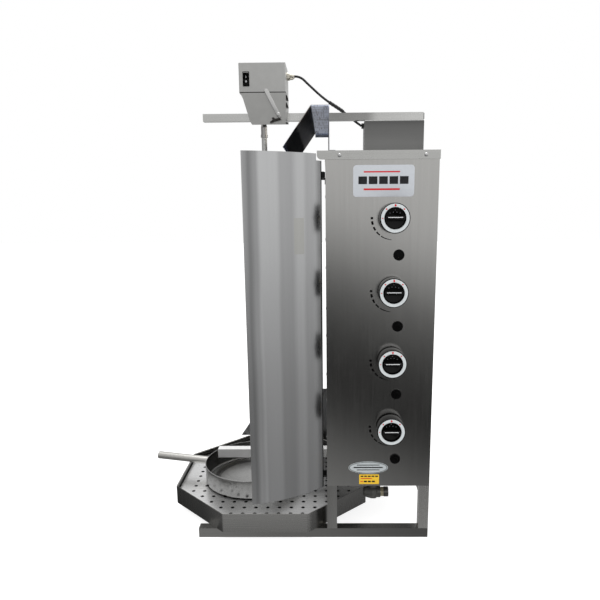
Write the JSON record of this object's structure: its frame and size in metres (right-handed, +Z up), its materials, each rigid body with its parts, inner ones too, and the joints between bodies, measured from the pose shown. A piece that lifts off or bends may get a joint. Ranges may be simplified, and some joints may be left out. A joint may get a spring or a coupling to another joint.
{
  "type": "vertical rotisserie broiler",
  "caption": "Upright gas broiler with a tall burner cabinet, a motor-driven vertical skewer on sliding carriages, a curved side shield, and an eight-sided drip tray with a handled pan.",
  "frame": {"origin": "centre of the base frame's footprint, on the floor", "axes": "+X from the skewer side to the back of the burner cabinet, -Y the side with the knobs, +Z up"},
  "size_m": [0.7689, 0.6049, 1.188],
  "materials": {
    "frame_steel": "satin",
    "panel_steel": "brushed",
    "lid_steel": "brushed",
    "polished_steel": "polished",
    "shield_steel": "satin",
    "guard_steel": "satin",
    "tray_steel": "satin",
    "insert_steel": "satin",
    "pan_steel": "satin",
    "handle_steel": "satin",
    "bracket_steel": "satin",
    "cover_steel": "satin",
    "lever_steel": "polished",
    "coupling_steel": "turned",
    "skewer_steel": "satin",
    "carriage_steel": "satin",
    "burner_steel": "satin",
    "screen_steel": "heat marked",
    "screw_chrome": "polished",
    "manifold_steel": "satin",
    "valve_brass": "machined",
    "stem_brass": "machined",
    "inlet_brass": "machined",
    "gland_brass": "machined",
    "regulator_casting": "cast",
    "gearbox_casting": "cast",
    "burner_ceramic": "unglazed ceramic",
    "black_plastic": "moulded",
    "knob_black": "moulded",
    "dial_white": "printed",
    "button_black": "moulded",
    "switch_plastic": "moulded",
    "black_rubber": "moulded",
    "cable_rubber": "matte",
    "label_foil": "printed foil"
  },
  "bodies": {
    "frame": {"base_tubes": "frame_steel", "posts": "frame_steel", "cross_bars": "frame_steel", "tube_caps": "black_plastic", "lower_arm": "frame_steel", "upper_arm": "frame_steel", "control_panel": "panel_steel", "far_panel": "panel_steel", "rear_panel": "panel_steel", "burner_frame": "panel_steel", "cabinet_floor": "panel_steel", "lid": "lid_steel", "lid_screws": "screw_chrome", "riser": "lid_steel", "heat_deflector": "polished_steel", "cable_grommet": "black_rubber", "burner_bodies": "burner_steel", "burner_tiles": "burner_ceramic", "burner_screens": "screen_steel", "gas_manifold": "manifold_steel", "gas_valves": "valve_brass", "gas_regulator": "regulator_casting", "inlet_nipple": "inlet_brass", "igniter_bezels": "black_plastic", "label_plates": "label_foil", "hinge_brackets": "frame_steel", "motor_cable": "cable_rubber"},
    "near_shield": {"near_shield": "shield_steel"},
    "motor_carriage": {"motor_bracket": "bracket_steel", "motor_cover": "cover_steel", "gearmotor": "gearbox_casting", "cable_gland": "gland_brass"},
    "rocker_switch": {"rocker_switch": "switch_plastic"},
    "clamp_lever": {"clamp_lever": "lever_steel"},
    "skewer": {"drive_coupling": "coupling_steel", "skewer_rod": "skewer_steel"},
    "lower_carriage": {"lower_carriage": "carriage_steel"},
    "drip_tray": {"drip_tray": "tray_steel", "tray_insert": "insert_steel", "splash_guard": "guard_steel"},
    "catch_pan": {"catch_pan": "pan_steel", "pan_handle": "handle_steel"},
    "valve_stem_1": {"valve_stem_1": "stem_brass"},
    "knob_1": {"knob_1": "knob_black", "dial_ring_1": "dial_white"},
    "igniter_button_1": {"igniter_button_1": "button_black"},
    "valve_stem_2": {"valve_stem_2": "stem_brass"},
    "knob_2": {"knob_2": "knob_black", "dial_ring_2": "dial_white"},
    "igniter_button_2": {"igniter_button_2": "button_black"},
    "valve_stem_3": {"valve_stem_3": "stem_brass"},
    "knob_3": {"knob_3": "knob_black", "dial_ring_3": "dial_white"},
    "igniter_button_3": {"igniter_button_3": "button_black"},
    "valve_stem_4": {"valve_stem_4": "stem_brass"},
    "knob_4": {"knob_4": "knob_black", "dial_ring_4": "dial_white"},
    "igniter_button_4": {"igniter_button_4": "button_black"}
  },
  "joints": [
    {"name": "near_shield_hinge", "type": "hinge", "parent": "frame", "child": "near_shield", "pos_m": [0.031, -0.236, 0.55], "axis": [0, 0, 1], "range_deg": [-35, 48]},
    {"name": "motor_carriage_slide", "type": "slide", "parent": "frame", "child": "motor_carriage", "axis": [1, 0, 0], "range_m": [-0.09, 0.03], "deforming": ["motor_cable"]},
    {"name": "lower_carriage_slide", "type": "slide", "parent": "frame", "child": "lower_carriage", "axis": [1, 0, 0], "range_m": [-0.09, 0.03]},
    {"name": "skewer_spin", "type": "hinge", "parent": "motor_carriage", "child": "skewer", "pos_m": [-0.122, -0.024, 0.6], "axis": [0, 0, 1], "continuous": true},
    {"name": "clamp_lever_turn", "type": "hinge", "parent": "motor_carriage", "child": "clamp_lever", "pos_m": [-0.082, -0.0568, 1.0655], "axis": [0, 1, 0], "range_deg": [-60, 60]},
    {"name": "rocker_tilt", "type": "hinge", "parent": "motor_carriage", "child": "rocker_switch", "pos_m": [-0.161, -0.052, 1.1495], "axis": [1, 0, 0], "range_deg": [-14, 0]},
    {"name": "drip_tray_slide", "type": "slide", "parent": "frame", "child": "drip_tray", "axis": [-1, 0, 0], "range_m": [0, 0.35]},
    {"name": "catch_pan_slide", "type": "slide", "parent": "drip_tray", "child": "catch_pan", "axis": [-0.9848, 0.1736, 0], "range_m": [0, 0.055]},
    {"name": "valve_push_1", "type": "slide", "parent": "frame", "child": "valve_stem_1", "axis": [0, 1, 0], "range_m": [0, 0.004], "stiffness_N_per_m": 800, "springref_m": -0.002},
    {"name": "knob_turn_1", "type": "hinge", "parent": "valve_stem_1", "child": "knob_1", "pos_m": [0.193, -0.25, 0.808], "axis": [0, -1, 0], "range_deg": [0, 180]},
    {"name": "igniter_push_1", "type": "slide", "parent": "frame", "child": "igniter_button_1", "axis": [0, 1, 0], "range_m": [0, 0.003], "stiffness_N_per_m": 600, "springref_m": -0.002},
    {"name": "valve_push_2", "type": "slide", "parent": "frame", "child": "valve_stem_2", "axis": [0, 1, 0], "range_m": [0, 0.004], "stiffness_N_per_m": 800, "springref_m": -0.002},
    {"name": "knob_turn_2", "type": "hinge", "parent": "valve_stem_2", "child": "knob_2", "pos_m": [0.193, -0.25, 0.639], "axis": [0, -1, 0], "range_deg": [0, 180]},
    {"name": "igniter_push_2", "type": "slide", "parent": "frame", "child": "igniter_button_2", "axis": [0, 1, 0], "range_m": [0, 0.003], "stiffness_N_per_m": 600, "springref_m": -0.002},
    {"name": "valve_push_3", "type": "slide", "parent": "frame", "child": "valve_stem_3", "axis": [0, 1, 0], "range_m": [0, 0.004], "stiffness_N_per_m": 800, "springref_m": -0.002},
    {"name": "knob_turn_3", "type": "hinge", "parent": "valve_stem_3", "child": "knob_3", "pos_m": [0.193, -0.25, 0.47], "axis": [0, -1, 0], "range_deg": [0, 180]},
    {"name": "igniter_push_3", "type": "slide", "parent": "frame", "child": "igniter_button_3", "axis": [0, 1, 0], "range_m": [0, 0.003], "stiffness_N_per_m": 600, "springref_m": -0.002},
    {"name": "valve_push_4", "type": "slide", "parent": "frame", "child": "valve_stem_4", "axis": [0, 1, 0], "range_m": [0, 0.004], "stiffness_N_per_m": 800, "springref_m": -0.002},
    {"name": "knob_turn_4", "type": "hinge", "parent": "valve_stem_4", "child": "knob_4", "pos_m": [0.193, -0.25, 0.301], "axis": [0, -1, 0], "range_deg": [0, 180]},
    {"name": "igniter_push_4", "type": "slide", "parent": "frame", "child": "igniter_button_4", "axis": [0, 1, 0], "range_m": [0, 0.003], "stiffness_N_per_m": 600, "springref_m": -0.002}
  ],
  "couplings": [
    {"joint": "lower_carriage_slide", "follows": "motor_carriage_slide", "ratio": 1}
  ]
}
